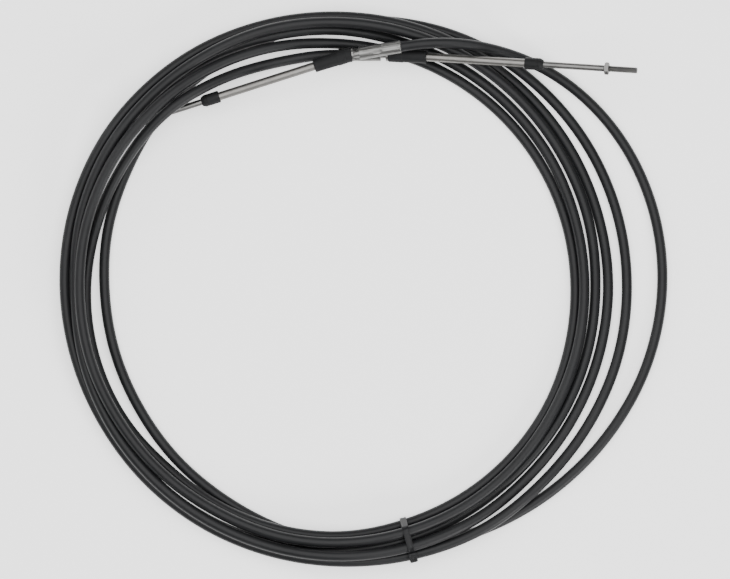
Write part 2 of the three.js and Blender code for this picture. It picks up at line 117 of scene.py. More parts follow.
class ShaderSheet:
    """The nodes of one material."""

    def __init__(self, name: str) -> None:
        """Starts a material with a Principled shader.

        Args:
            name: The material's name.
        """
        self.material = bpy.data.materials.new(name)
        self.material.use_nodes = True
        self.tree = self.material.node_tree
        self.shader = self.tree.nodes["Principled BSDF"]
        self.object_place = Signal(self, self._new("ShaderNodeTexCoord").outputs["Object"])

    def _new(self, kind: str) -> bpy.types.Node:
        """Adds a bare node."""
        return self.tree.nodes.new(kind)

    def _feed(self, socket: bpy.types.NodeSocket, value: Any) -> None:
        """Links a signal to a socket or sets its value."""
        if isinstance(value, Signal):
            self.tree.links.new(value.socket, socket)
        elif socket.type == "RGBA" and len(value) == 3:
            socket.default_value = (*value, 1.0)
        else:
            socket.default_value = value

    def node(
        self,
        kind: str,
        settings: dict[str, Any] | None = None,
        inputs: dict[int | str, Any] | None = None,
        output: int | str = 0,
    ) -> Signal:
        """Adds any node.

        Args:
            kind: The node's type.
            settings: Its properties, set first.
            inputs: Values or signals by socket number or name.
            output: Number or name of the output to return.

        Returns:
            The chosen output as a signal.
        """
        made = self._new(kind)
        for key, value in (settings or {}).items():
            setattr(made, key, value)
        for key, value in (inputs or {}).items():
            self._feed(made.inputs[key], value)
        return Signal(self, made.outputs[output])

    def length_place(self) -> Signal:
        """The UV map of make_piece: metres along the piece and metres round it."""
        return self.node("ShaderNodeUVMap", {"uv_map": LENGTH_MAP})

    def noise(
        self, place: Signal, scale: float, detail: float = 3.0, rough: float = 0.55
    ) -> Signal:
        """Fractal noise of about 0 to 1 at a place, with features 1/scale across.

        Args:
            place: Coordinates in metres.
            scale: Features per metre.
            detail: Octaves.
            rough: Share that each finer octave keeps.

        Returns:
            The noise value.
        """
        inputs = {"Vector": place, "Scale": scale, "Detail": detail, "Roughness": rough}
        return self.node("ShaderNodeTexNoise", {}, inputs)

    def stretched(self, place: Signal, scale: tuple[float, float, float]) -> Signal:
        """Coordinates scaled apart along their axes, so that a pattern runs one way."""
        return self.node("ShaderNodeMapping", {}, {"Vector": place, "Scale": scale})

    def blend(self, share: Any, low: Any, high: Any) -> Signal:
        """Colour that goes from low to high as share goes from 0 to 1."""
        return self.node("ShaderNodeMix", {"data_type": "RGBA"}, {0: share, 6: low, 7: high}, 2)

    def bump(
        self, height: Signal, strength: float, depth: float, under: Signal | None = None
    ) -> Signal:
        """Surface relief.

        Args:
            height: Height from 0 to 1.
            strength: Share of the effect.
            depth: Metres between height 0 and 1.
            under: A coarser relief that this one lies on.

        Returns:
            The bent normal.
        """
        inputs: dict[int | str, Any] = {"Height": height, "Strength": strength, "Distance": depth}
        if under is not None:
            inputs["Normal"] = under
        return self.node("ShaderNodeBump", {}, inputs)

    def dress(self, **sockets: Any) -> bpy.types.Material:
        """Feeds the shader's sockets, with spaces written as underscores.

        Args:
            **sockets: Values or signals by socket name.

        Returns:
            The finished material.
        """
        for name, value in sockets.items():
            self._feed(self.shader.inputs[name.replace("_", " ")], value)
        return self.material


@dataclass(frozen=True)
class JacketFinish:
    """Satin black polyethylene, extruded: fine grain, faint die lines and rub marks."""

    tone: tuple[float, float, float] = (0.0085, 0.0088, 0.0095)
    rubbed: tuple[float, float, float] = (0.017, 0.0174, 0.0185)
    roughness: float = 0.4
    gloss: float = 0.2
    grain: float = 1900.0
    grain_depth: float = 0.00003
    die_lines: float = 330.0
    rub_scale: float = 16.0

    def material(self) -> bpy.types.Material:
        """Makes the material, whose die lines and scuffs run along the cable."""
        sheet = ShaderSheet("jacket_polyethylene")
        along = sheet.length_place()
        lines = sheet.noise(sheet.stretched(along, (0.012, 1.0, 1.0)), self.die_lines, 2.0)
        grain = sheet.noise(sheet.object_place, self.grain, 2.0)
        cloud = sheet.noise(sheet.object_place, self.rub_scale, 4.0)
        scuff_place = sheet.stretched(along, (0.09, 1.0, 1.0))
        scuff = sheet.noise(scuff_place, 900.0, 3.0, 0.7).step(0.66, 0.8) * cloud.step(0.45, 0.65)
        share = cloud.step(0.3, 0.75) * 0.45 + scuff * 0.55
        colour = sheet.blend(share, self.tone, self.rubbed)
        rough = (cloud - 0.5) * 0.16 + (grain - 0.5) * 0.08 + scuff * 0.1 + self.roughness
        relief = sheet.bump(lines, 0.35, 0.00005)
        normal = sheet.bump(grain, 0.5, self.grain_depth, relief)
        return sheet.dress(
            Base_Color=colour, Roughness=rough, Normal=normal, Specular_IOR_Level=self.gloss
        )


@dataclass(frozen=True)
class GroundSteelFinish:
    """Stainless steel, ground and polished round the axis, with fine lines and dull patches."""

    name: str = "ground_stainless"
    tone: tuple[float, float, float] = (0.2, 0.194, 0.185)
    dull: tuple[float, float, float] = (0.14, 0.136, 0.13)
    roughness: float = 0.38
    line_scale: float = 5200.0
    line_depth: float = 0.000012

    def material(self) -> bpy.types.Material:
        """Makes the material, whose lines run round the piece with fainter ones along it."""
        sheet = ShaderSheet(self.name)
        place = sheet.length_place()
        round_lines = sheet.noise(sheet.stretched(place, (1.0, 0.05, 1.0)), self.line_scale, 3.0)
        long_lines = sheet.noise(sheet.stretched(place, (0.02, 1.0, 1.0)), self.line_scale / 3, 2.0)
        cloud = sheet.noise(sheet.object_place, 90.0, 4.0)
        lines = round_lines * 0.6 + long_lines * 0.4
        share = cloud.step(0.35, 0.75) * 0.5 + (lines - 0.35).most(0.0) * 0.8
        colour = sheet.blend(share, self.tone, self.dull)
        rough = (lines - 0.5) * 0.24 + (cloud - 0.5) * 0.16 + self.roughness
        normal = sheet.bump(lines, 0.4, self.line_depth)
        return sheet.dress(Base_Color=colour, Roughness=rough, Normal=normal, Metallic=1.0)


@dataclass(frozen=True)
class CrimpedSteelFinish:
    """Plated steel: drawn lines along the hub, dirty patches, and painted shade in the hollows
    where it is crimped.
    """

    tone: tuple[float, float, float] = (0.2, 0.198, 0.192)
    # Colour taken by dirty patches and dark drawn lines, and by painted shade in the crimped
    # hollows.
    soiled_and_shaded: tuple[float, float, float] = (0.05, 0.0495, 0.0485)
    roughness: float = 0.36

    def material(self) -> bpy.types.Material:
        """Makes the material; the "crimp" attribute is 1 where a jaw has pressed the hub, and shade
        is painted in proportion to it.
        """
        sheet = ShaderSheet("crimped_steel")
        place = sheet.length_place()
        press = sheet.node("ShaderNodeAttribute", {"attribute_name": "crimp"}, {}, "Fac")
        drawn = sheet.noise(sheet.stretched(place, (0.06, 1.0, 1.0)), 900.0, 3.0)
        turned = sheet.noise(sheet.stretched(place, (1.0, 0.05, 1.0)), 3600.0, 2.0)
        cloud = sheet.noise(sheet.object_place, 260.0, 4.0, 0.6)
        # Mix of random dirt, darker drawn lines and painted shade that deepens with the crimp.
        soil_and_shade = cloud.step(0.45, 0.75) * 0.35 + press * 0.15 + drawn.step(0.42, 0.66) * 0.5
        colour = sheet.blend(soil_and_shade, self.tone, self.soiled_and_shaded)
        rough = (drawn - 0.5) * 0.2 + (turned - 0.5) * 0.1 + (cloud - 0.5) * 0.22 + self.roughness
        coarse = sheet.bump(cloud, 0.35, 0.00009)
        normal = sheet.bump(drawn * 0.7 + turned * 0.3, 0.5, 0.00002, coarse)
        return sheet.dress(Base_Color=colour, Roughness=rough, Normal=normal, Metallic=1.0)


@dataclass(frozen=True)
class RubberFinish:
    """Moulded black rubber: matt, finely grained, with a dusty bloom in patches."""

    name: str
    tone: tuple[float, float, float]
    bloom: tuple[float, float, float]
    roughness: float
    gloss: float = 0.16
    grain: float = 1500.0
    wrinkle: float = 240.0

    def material(self) -> bpy.types.Material:
        """Makes the material."""
        sheet = ShaderSheet(self.name)
        place = sheet.length_place()
        grain = sheet.noise(sheet.object_place, self.grain, 3.0, 0.65)
        wrinkle = sheet.noise(sheet.stretched(place, (1.0, 0.25, 1.0)), self.wrinkle, 3.0)
        cloud = sheet.noise(sheet.object_place, 120.0, 3.0)
        colour = sheet.blend(cloud.step(0.35, 0.8) * 0.6 + grain * 0.2, self.tone, self.bloom)
        rough = (grain - 0.5) * 0.14 + (cloud - 0.5) * 0.12 + self.roughness
        coarse = sheet.bump(wrinkle, 0.45, 0.0003)
        normal = sheet.bump(grain, 0.6, 0.00007, coarse)
        return sheet.dress(
            Base_Color=colour, Roughness=rough, Normal=normal, Specular_IOR_Level=self.gloss
        )


TUBE_STEEL = GroundSteelFinish()
ROD_STEEL = GroundSteelFinish(
    "rod_stainless", (0.17, 0.168, 0.164), (0.11, 0.108, 0.106), 0.34
)
BOOT_RUBBER = RubberFinish(
    "boot_rubber", (0.0075, 0.0077, 0.0082), (0.014, 0.0143, 0.015), 0.62
)
SEAL_RUBBER = RubberFinish(
    "seal_rubber", (0.007, 0.0072, 0.0076), (0.012, 0.0123, 0.013), 0.56
)


@dataclass(frozen=True)
class NylonFinish:
    """Moulded black nylon: smooth with a soft sheen, faint flow marks and pale stress marks."""

    tone: tuple[float, float, float] = (0.008, 0.0082, 0.009)
    stressed: tuple[float, float, float] = (0.024, 0.0245, 0.026)
    roughness: float = 0.31
    gloss: float = 0.16

    def material(self) -> bpy.types.Material:
        """Makes the material."""
        sheet = ShaderSheet("tie_nylon")
        flow = sheet.noise(sheet.object_place, 420.0, 3.0)
        fine = sheet.noise(sheet.object_place, 2600.0, 2.0)
        colour = sheet.blend(flow.step(0.5, 0.8) * 0.7, self.tone, self.stressed)
        rough = (flow - 0.5) * 0.2 + (fine - 0.5) * 0.1 + self.roughness
        coarse = sheet.bump(flow, 0.3, 0.00012)
        normal = sheet.bump(fine, 0.35, 0.00002, coarse)
        return sheet.dress(
            Base_Color=colour, Roughness=rough, Normal=normal, Specular_IOR_Level=self.gloss
        )


@dataclass(frozen=True)
class FloorFinish:
    """Matt white card, lit faintly from below so that shadows on it stay light."""

    tone: tuple[float, float, float] = (0.93, 0.93, 0.93)
    glow: float = 0.9

    def material(self) -> bpy.types.Material:
        """Makes the material."""
        sheet = ShaderSheet("pale_floor")
        return sheet.dress(
            Base_Color=self.tone,
            Roughness=0.9,
            Emission_Color=self.tone,
            Emission_Strength=self.glow,
        )


# Surfaces


class Ends(Enum):
    """How the first and last rows of a surface are finished."""

    CAPPED = "a disc closes each end"
    JOINED = "the last row meets the first, as in a ring"


def make_piece(name: str, grid: Array, ends: Ends, smooth_angle: float = 35.0) -> bpy.types.Object:
    """Puts a closed surface into a mesh object at the origin.

    The grid's rows go along the piece and its columns go once round it. Each face joins
    neighbours (i, j), (i, j+1), (i+1, j+1), (i+1, j), with columns counted round. The UV map
    "length" holds the distance along the rows and round the columns, in metres.

    Args:
        name: The piece's name.
        grid: Points in millimetres, rows x columns x 3.
        ends: How the first and last rows are finished.
        smooth_angle: Edges sharper than this many degrees stay sharp.

    Returns:
        The object, not yet riding on a body.
    """
    points = grid * MM
    rows, cols, _ = points.shape
    joined = ends is Ends.JOINED
    spans = rows if joined else rows - 1
    i, j = np.meshgrid(np.arange(spans), np.arange(cols), indexing="ij")
    following, beside = (i + 1) % rows, (j + 1) % cols
    quads = np.stack(
        [i * cols + j, i * cols + beside, following * cols + beside, following * cols + j], -1
    ).reshape(-1, 4)
    steps = np.linalg.norm(np.roll(points, -1, 0) - points, axis=2).mean(1)
    along = np.concatenate([[0.0], np.cumsum(steps)])
    around = np.linalg.norm(np.roll(points, -1, 1) - points, axis=2).sum(1).mean() / cols
    u = np.stack([along[i], along[i], along[i + 1], along[i + 1]], -1).reshape(-1, 4)
    v = np.stack([j, j + 1, j + 1, j], -1).reshape(-1, 4) * around
    faces, verts = [*quads.tolist()], points.reshape(-1, 3)
    uv = [np.stack([u, v], -1).reshape(-1, 2)]
    if not joined:
        verts = np.vstack([verts, points[0].mean(0), points[-1].mean(0)])
        col = np.arange(cols)
        nxt = (col + 1) % cols
        first, last = rows * cols, rows * cols + 1
        end = (rows - 1) * cols
        faces += np.stack([np.full(cols, first), nxt, col], -1).tolist()
        faces += np.stack([np.full(cols, last), end + col, end + nxt], -1).tolist()
        fans = ((0.0, (col + 0.5, col + 1, col)), (along[-2], (col + 0.5, col, col + 1)))
        for distance, order in fans:
            fan = np.stack(order, -1) * around
            uv.append(np.stack([np.full(fan.shape, distance), fan], -1).reshape(-1, 2))
    mesh = bpy.data.meshes.new(name)
    mesh.from_pydata(verts.tolist(), [], faces)
    mesh.uv_layers.new(name=LENGTH_MAP).data.foreach_set("uv", np.concatenate(uv).ravel())
    if signed_volume(verts, quads) < 0:
        mesh.flip_normals()
    mesh.polygons.foreach_set("use_smooth", [True] * len(mesh.polygons))
    mesh.set_sharp_from_angle(angle=math.radians(smooth_angle))
    mesh.update()
    made = bpy.data.objects.new(name, mesh)
    bpy.context.scene.collection.objects.link(made)
    return made


def signed_volume(points: Array, quads: Array) -> float:
    """Six times the volume inside the faces, which is positive if they point outwards.

    The sum over the faces of (a x b) . c, for the two triangles of each quad, about the points'
    mean.

    Args:
        points: Corner places.
        quads: Four corner numbers for each face.

    Returns:
        Six times the volume.
    """
    a, b, c, d = (points[quads[:, k]] - points.mean(0) for k in range(4))
    return float((np.cross(a, b) * c).sum() + (np.cross(a, c) * d).sum())


def eased(profile: list[tuple[float, float]], cut: float, closed: bool, steps: int = 4) -> Array:
    """A profile whose corners are rounded.

    Each corner P gives way to the curve (1-t)^2 A + 2t(1-t) P + t^2 B, where A and B lie on its
    two sides, a cut away from it and never past 0.45 of the side.

    Args:
        profile: Corner points (along, radius).
        cut: Distance from a corner at which its rounding starts, in millimetres.
        closed: Whether the last point joins the first.
        steps: Segments in each rounding.

    Returns:
        The rounded profile as rows of (along, radius).
    """
    most = 0.45
    points = np.array(profile, float)
    before, after = np.roll(points, 1, 0), np.roll(points, -1, 0)
    t = np.linspace(0, 1, steps + 1)[:, None]
    made = []
    for k, point in enumerate(points):
        if not closed and k in (0, len(points) - 1):
            made.append(point[None])
            continue
        back, ahead = before[k] - point, after[k] - point
        a = point + back * min(most, cut / np.linalg.norm(back))
        b = point + ahead * min(most, cut / np.linalg.norm(ahead))
        made.append((1 - t) ** 2 * a + 2 * t * (1 - t) * point + t**2 * b)
    return np.concatenate(made)


def filled(profile: Array, longest: float) -> Array:
    """A profile with points added so that no step is longer than a given length."""
    parts = []
    for a, b in zip(profile[:-1], profile[1:]):
        count = max(1, math.ceil(np.linalg.norm(b - a) / longest))
        parts.append(a + (b - a) * np.arange(count)[:, None] / count)
    return np.concatenate([*parts, profile[-1:]])


def spline(points: Array, finer: int) -> Array:
    """Catmull-Rom curve through points, each end's missing neighbour mirrored about it.

    From p1 to p2 it is half of 2 p1 + (p2 - p0) t + (2 p0 - 5 p1 + 4 p2 - p3) t^2
    + (3 p1 - p0 - 3 p2 + p3) t^3, with t from 0 to 1.

    Args:
        points: Points as rows.
        finer: Steps from each point to the next.

    Returns:
        The curve's points as rows.
    """
    a = np.vstack([2 * points[0] - points[1], points, 2 * points[-1] - points[-2]])[:, None]
    t = (np.arange(finer) / finer)[None, :, None]
    p0, p1, p2, p3 = (a[k : len(a) - 3 + k] for k in range(4))
    square = (2 * p0 - 5 * p1 + 4 * p2 - p3) * t**2
    cubic = (3 * p1 - p0 - 3 * p2 + p3) * t**3
    curve = 0.5 * (2 * p1 + (p2 - p0) * t + square + cubic)
    return np.vstack([curve.reshape(-1, points.shape[1]), points[-1]])


def round_angles(sides: int) -> Array:
    """Even angles once round an axis, from 0."""
    return np.arange(sides) * 2 * math.pi / sides


def from_flat(angle: Array, flats: int, lean: float) -> Array:
    """Angle from the middle of the nearest flat of a polygon whose first flat is at lean."""
    pitch = 2 * math.pi / flats
    return (angle - lean + pitch / 2) % pitch - pitch / 2


def revolved(profile: Array, sides: int, radius: Array | None = None) -> Array:
    """Points of a turned surface about +X: (x, r cos a, r sin a) at even angles a.

    Args:
        profile: Rows of (along, radius).
        sides: Points round the axis.
        radius: Radii for every row and angle, if they differ from the profile's.

    Returns:
        A grid of points.
    """
    angle = round_angles(sides)
    r = np.broadcast_to(profile[:, 1:2], (len(profile), sides)) if radius is None else radius
    x = np.broadcast_to(profile[:, :1], r.shape)
    return np.stack([x, r * np.cos(angle), r * np.sin(angle)], -1)


def turn_about(axis: Array, angle: Array, points: Array) -> Array:
    """Points turned about an axis through the origin, by Rodrigues' formula.

    p cos a + (k x p) sin a + k (k . p)(1 - cos a), for each point's own angle a.

    Args:
        axis: Unit vector k.
        angle: Angle for each point, in radians.
        points: Points to turn.

    Returns:
        The turned points.
    """
    cos, sin = np.cos(angle)[..., None], np.sin(angle)[..., None]
    along = axis * (points @ axis)[..., None]
    return points * cos + np.cross(axis, points) * sin + along * (1 - cos)


def smoothstep(x: Array, low: float, high: float) -> Array:
    """0 below low, 1 above high and t^2 (3 - 2t) between them."""
    t = np.clip((x - low) / (high - low), 0, 1)
    return t * t * (3 - 2 * t)


def aim(yaw: float, pitch: float) -> Array:
    """Turn that takes +X to a yaw from +X and a pitch up from level, both in degrees."""
    y, p = math.radians(yaw), math.radians(pitch)
    turn = np.array([[math.cos(y), -math.sin(y), 0], [math.sin(y), math.cos(y), 0], [0, 0, 1]])
    lift = np.array([[math.cos(p), 0, -math.sin(p)], [0, 1, 0], [math.sin(p), 0, math.cos(p)]])
    return turn @ lift


def finish(
    piece: bpy.types.Object, material: bpy.types.Material, slot: str, node: str
) -> None:
    """Gives a piece its material, and hides the node that it stands for.

    Args:
        piece: The piece.
        material: Its material.
        slot: A material slot's name; not used.
        node: Node that the piece replaces.
    """
    piece.data.materials.append(material)
    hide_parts(node)
    LOG.info("%s: %d faces", piece.name, len(piece.data.polygons))


# The cable's own sub-assemblies


@dataclass(frozen=True)
class EndAim:
    """Where one end of the cable points, in degrees, and the bodies that its pieces ride on.

    The lead is the straight stretch of conduit from the route's end station to the hub, and the
    station height is that station's height, both in millimetres.
    """

    letter: str
    body: str
    rod_body: str
    hub_yaw: float
    hub_pitch: float
    sleeve_yaw: float
    sleeve_pitch: float
    lead: float
    station_height: float

    def hub_turn(self) -> Array:
        """Turn of the hub."""
        return aim(self.hub_yaw, self.hub_pitch)

    def sleeve_turn(self) -> Array:
        """Turn of the sleeve."""
        return aim(self.sleeve_yaw, self.sleeve_pitch)


END_A = EndAim("a", "coil", "rod_a", 189, -2.8, 197.6, -2.8, 0, 24.7)
END_B = EndAim("b", "sleeve_b", "rod_b", 0, 6.4, -4.06, 10.3, 1.2, 9.6)


@dataclass
class CoilRoute:
    """The conduit's route, read turn by turn and settled under its own weight.

    Radii are given at every knot angle, turn by turn, clockwise from the first azimuth. Layers
    give the turns from bottom to top at each knot, and the shift moves the coil into the row
    frame. In each settling round the conduit falls by the sag and is made fair with a share
    given by the stiffness, then is pushed apart in several passes. The search is how many
    stations either way count as near a crossing.
    """

    jacket_diameter: float = 7.9
    turn_gap: float = 0.6
    knot_angle: float = 15.0
    rings_per_knot: int = 3
    first_azimuth: float = 76.0
    shift: tuple[float, float] = (-16.95855, 0.75352)
    sag: float = 0.08
    stiffness: float = 0.5
    rounds: int = 5000
    passes: int = 3
    search: int = 3
    radii: list[list[float]] = field(
        default_factory=lambda: [
            [185, 206.2, 224, 235, 240, 240, 235.5, 227.5, 218.5, 209.5, 201.5, 193.5,
             186, 180.5, 177.5, 175.5, 175.5, 176.5, 179.5, 182.5, 187.5, 191, 194.5, 198.5],
            [203.5, 208, 210.5, 212.5, 213.5, 213.5, 213, 211, 209, 208.5, 206, 204,
             203.5, 203.5, 203.5, 203.5, 204.5, 206, 207.5, 208, 207.5, 206.5, 204.5, 202.5],
            [201.5, 201, 200.5, 200, 199.5, 199.5, 199, 198.5, 198.5, 199.5, 199.5, 199.5,
             199.5, 199.5, 199.5, 199.5, 199, 198, 200.5, 201.5, 201, 200.5, 200, 198],
            [196.5, 195.5, 194, 192.5, 191.5, 190, 190, 190, 190, 191.5, 193.5, 196,
             198, 199.5, 200.5, 201, 202, 202.5, 203, 202.5, 201, 198, 195, 192.5],
            [189, 187, 185, 183.5, 182, 181.5, 182, 183, 185, 187, 188, 189.5,
             190.5, 190.5, 191.5, 192.5, 194, 194.5, 195, 194.2, 192.5, 190, 186.5, 182.5],
            [180, 178, 176.5, 175.5, 175, 175, 176, 178, 179.5, 181, 182.5, 185,
             186, 186.5, 187, 190, 191, 190.5, 188.5, 186.5, 184.5, 179.5, 175, 174],
        ]
    )
    layers: list[list[int]] = field(
        default_factory=lambda: [
            *[[1, 2, 5, 4, 3, 0]] * 3,
            *[[0, 2, 1, 3, 5, 4]] * 5,
            *[[0, 3, 5, 1, 4, 2]] * 5,
            *[[0, 3, 5, 1, 2, 4]] * 9,
            *[[0, 1, 3, 2, 4, 5]] * 2,
        ]
    )
    turns_over_rod: tuple[int, ...] = (1, 2, 4, 5)

    def __post_init__(self) -> None:
        """Works out the stations in plan."""
        self.floor = self.jacket_diameter / 2
        self.step = self.knot_angle / self.rings_per_knot
        self.per_turn = round(360 / self.step)
        middle_radius = self.radii[2][0]
        self.station_length = math.radians(self.step) * middle_radius
        knots = np.array(sum(self.radii, []), float)
        radius = spline(knots[:, None], self.rings_per_knot)[:, 0]
        self.angle = np.radians(self.first_azimuth - np.arange(len(radius)) * self.step)
        self.plan = np.stack([radius * np.cos(self.angle), radius * np.sin(self.angle)], -1)
        self.turn = np.arange(len(radius)) // self.per_turn

    def _plan_distance(self, here: Array, near: Array) -> Array:
        """Least distance in plan from stations to the stretches round other stations.

        The points are each station and the half-way points beside it; each segment from q to
        q + d is nearest at q + d clamp((p - q) . d / d . d, 0, 1).

        Args:
            here: Station numbers.
            near: Numbers of the stations beside them on the other turn.

        Returns:
            The distances.
        """
        last = len(self.plan) - 1
        beside = np.clip(here[:, None] + np.array([-1, 0, 1]), 0, last)
        p = (self.plan[here][:, None] + self.plan[beside]) / 2
        k = np.clip(near[:, None] + np.arange(-self.search, self.search), 0, last - 1)
        q, d = self.plan[k], self.plan[k + 1] - self.plan[k]
        away = p[:, :, None] - q[:, None]
        t = np.clip((away * d[:, None]).sum(-1) / (d * d).sum(-1)[:, None], 0, 1)
        return np.linalg.norm(away - t[..., None] * d[:, None], axis=-1).min((1, 2))

    def _crossings(self) -> tuple[Array, Array, Array]:
        """Pairs (upper, lower) of stations where turns lie on each other, and their rise."""
        count = len(self.plan)
        reach = self.jacket_diameter + self.turn_gap
        rank = np.argsort(np.array(self.layers), axis=1)
        places = (np.arange(count) % self.per_turn) / self.rings_per_knot
        row = np.minimum(len(self.layers) - 1, np.floor(places + 0.5).astype(int))
        pairs = []
        for turns in range(1 - len(self.radii), len(self.radii)):
            upper = np.arange(count)
            lower = upper + turns * self.per_turn
            kept = (lower >= 0) & (lower < count)
            upper, lower = upper[kept], lower[kept]
            below = rank[row[upper], self.turn[lower]] < rank[row[upper], self.turn[upper]]
            pairs.append(np.stack([upper[below], lower[below]]))
        upper, lower = np.concatenate(pairs, 1)
        apart = np.minimum(self._plan_distance(upper, lower), self._plan_distance(lower, upper))
        near = apart < reach
        return upper[near], lower[near], np.sqrt(reach**2 - apart[near] ** 2)

    def _least_heights(self, tie: "CableTie", arm: "RodPath") -> Array:
        """Least height of each station: floor, tie strap or the path of the hidden rod."""
        half_step = math.sin(math.radians(self.step) / 2)
        on_strap = np.abs(np.sin((self.angle - math.radians(tie.azimuth)) / 2)) < half_step
        least = np.where(on_strap, self.floor + tie.thickness + tie.clearance, self.floor)
        away = self.plan - arm.origin[:2]
        cos, sin = math.cos(arm.yaw), math.sin(arm.yaw)
        along = away @ np.array([cos, sin])
        aside = np.abs(away @ np.array([sin, -cos]))
        reach = self.floor + self.turn_gap
        over = np.isin(self.turn, self.turns_over_rod) & (along > arm.near) & (along < arm.far)
        over &= aside <= arm.widest + reach
        overhang = np.clip(aside - arm.widest, 0, reach)
        top = arm.origin[2] + along * arm.slope + arm.widest + np.sqrt(reach**2 - overhang**2)
        return np.where(over, top, least)

    def settle(self, tie: "CableTie", arm: "RodPath") -> Array:
        """Heights of the stations: the conduit sags, stays fair and is held apart.

        Each round moves every height towards (4(h[k-1] + h[k+1]) - h[k-2] - h[k+2]) / 6 less
        the sag, then pushes crossing stations apart, half up and half down.

        Args:
            tie: The cable tie that the conduit lies in.
            arm: The space that the hidden rod needs.

        Returns:
            Heights in millimetres.
        """
        upper, lower, rise = self._crossings()
        least = self._least_heights(tie, arm)
        start_slope = -math.tan(math.radians(END_A.hub_pitch)) * self.station_length
        end_slope = math.tan(math.radians(END_B.hub_pitch)) * self.station_length
        by_upper, by_lower = np.argsort(upper, kind="stable"), np.argsort(lower, kind="stable")
        uppers, first_up = np.unique(upper[by_upper], return_index=True)
        lowers, first_low = np.unique(lower[by_lower], return_index=True)
        heights = least.copy()
        heights[0], heights[-1] = END_A.station_height, END_B.station_height
        before = END_A.station_height + np.array([-2, -1]) * start_slope
        after = END_B.station_height + np.array([1, 2]) * end_slope
        for _ in range(self.rounds):
            h = np.concatenate([before, heights, after])
            fair = (4 * (h[1:-3] + h[3:-1]) - h[:-4] - h[4:]) / 6
            heights = heights + self.stiffness * (fair - self.sag - heights)
            for _ in range(self.passes):
                short = np.maximum(heights[lower] + rise - heights[upper], 0)
                push = np.zeros_like(heights)
                push[uppers] = np.maximum.reduceat(short[by_upper], first_up)
                push[lowers] -= np.maximum.reduceat(short[by_lower], first_low)
                heights = np.maximum(least, heights + push / 2)
            heights[0], heights[-1] = END_A.station_height, END_B.station_height
        return heights

    def mouth(self, end: EndAim) -> Array:
        """Where the conduit enters an end's hub, in the row frame."""
        station = self.plan[0] if end is END_A else self.plan[-1]
        start = np.array([*(station + self.shift), end.station_height])
        return start + end.lead * end.hub_turn()[:, 0]

    def centreline(self, heights: Array, hub: "HubSizes", finer: int = 6) -> Array:
        """Ring centres from inside hub A to inside hub B, on a spline through the stations.

        Args:
            heights: Settled heights.
            hub: Sizes of the hubs.
            finer: Rings for each station.

        Returns:
            Points in the row frame, in millimetres.
        """
        stations = np.column_stack([self.plan + np.array(self.shift), heights])
        ends = []
        for end in (END_A, END_B):
            axis = end.hub_turn()[:, 0]
            seat = self.mouth(end) + axis * (hub.bore_depth - hub.clearance)
            ends.append((seat, self.mouth(end) - axis * hub.chamfer))
        (start, outside_a), (last, outside_b) = ends
        p = np.vstack([start, outside_a, stations[1:-1], outside_b, last])
        line = spline(p, finer)
        line[:, 2] = np.maximum(line[:, 2], self.floor)
        return line


@dataclass
class RodPath:
    """The straight space that the rod under the turns needs at any travel.

    It starts at the ball and runs along its yaw and slope from near to far, as wide to each side
    as its widest piece.
    """

    origin: Array
    yaw: float
    slope: float
    near: float
    far: float
    widest: float


@dataclass
class Jacket:
    """The black jacket of the conduit, swept along its route."""

    route: CoilRoute
    sides: int = 28
    finish: JacketFinish = JacketFinish()

    def build(self, line: Array) -> bpy.types.Object:
        """Makes the jacket.

        Ring k is centre[k] + r (side cos a + up sin a), where side is level and square to the
        route and up is square to both. The angle a starts underneath, so that the place where
        the UV map wraps faces the floor.

        Args:
            line: Ring centres in millimetres.

        Returns:
            The jacket.
        """
        tangent = np.gradient(line, axis=0)
        tangent /= np.linalg.norm(tangent, axis=1)[:, None]
        side = np.cross(tangent, [0.0, 0.0, 1.0])
        side /= np.linalg.norm(side, axis=1)[:, None]
        up = np.cross(side, tangent)
        angle = round_angles(self.sides) - math.pi / 2
        ring = side[:, None] * np.cos(angle)[:, None] + up[:, None] * np.sin(angle)[:, None]
        grid = line[:, None] + ring * self.route.jacket_diameter / 2
        piece = make_piece("jacket", grid, Ends.CAPPED, 60.0)
        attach(piece, "coil")
        self.route.mouth(END_A) * MM
        finish(piece, self.finish.material(), "jacket_plastic", "outer_jacket")
        return piece


@dataclass
class HubSizes:
    """Sizes shared by the hubs and what meets them.

    Lengths run back from the hub's face, and the swivel's ball lies ahead of the face.
    """

    diameter: float = 9.7
    length: float = 37.3
    bore_depth: float = 18.0
    groove_diameter: float = 5.6
    groove_width: float = 4.0
    flange: float = 1.7
    chamfer: float = 0.5
    ball_ahead: float = 2.2
    clearance: float = 0.3


@dataclass(frozen=True)
class CrimpBand:
    """Where the jaws of a press flatten a hub: from back to front, counted from the ball.

    Depth is that in the middle of a flat, lean the angle of the first flat's middle.
    """

    back: float
    front: float
    jaws: int
    depth: float
    lean: float
    back_edge: float = 0.9
    front_edge: float = 2.2


